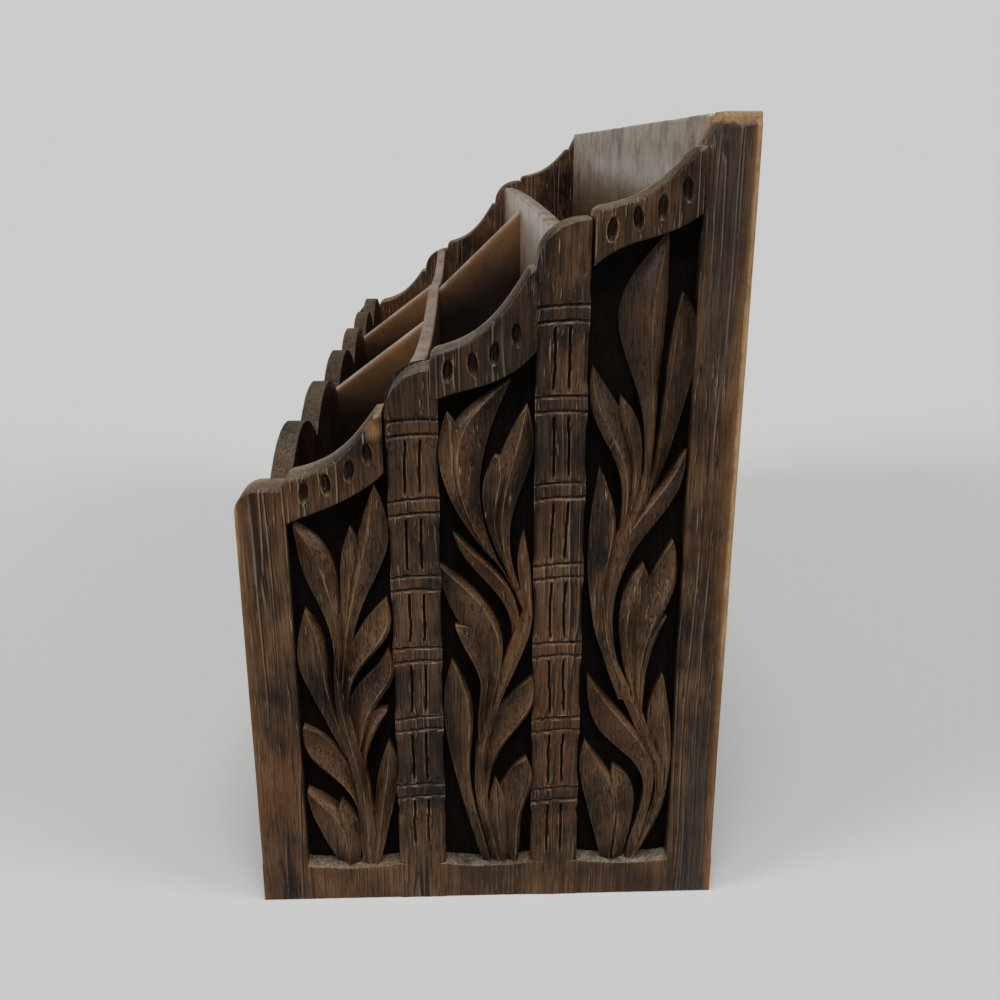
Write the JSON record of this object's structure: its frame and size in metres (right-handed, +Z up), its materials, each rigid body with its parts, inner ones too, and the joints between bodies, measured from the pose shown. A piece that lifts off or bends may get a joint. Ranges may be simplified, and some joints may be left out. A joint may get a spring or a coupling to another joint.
{
  "type": "desk letter box",
  "caption": "Carved hardwood desk letter box, open on top, with rows that step up from front to back, upright partitions between the bays and leaf sprays in relief on its stepped sides.",
  "frame": {"origin": "middle of the footprint, on the surface the box stands on", "axes": "+X along the rows towards the right-hand side panel, +Y from the low front panel to the tall back panel, +Z up"},
  "size_m": [0.3274, 0.1204, 0.2],
  "materials": {
    "carved_hardwood": "satin dark stain over open-pored grain, worn golden on the edges",
    "board_hardwood": "satin dark stain, smooth sawn faces"
  },
  "bodies": {
    "root": {"side_panel_right": "carved_hardwood", "side_panel_left": "carved_hardwood", "front_panel": "carved_hardwood", "back_panel": "board_hardwood", "base_board": "board_hardwood", "front_row_divider": "board_hardwood", "rear_row_divider": "board_hardwood", "front_partition_left": "board_hardwood", "front_partition_right": "board_hardwood", "middle_row_partition": "board_hardwood"}
  },
  "joints": []
}
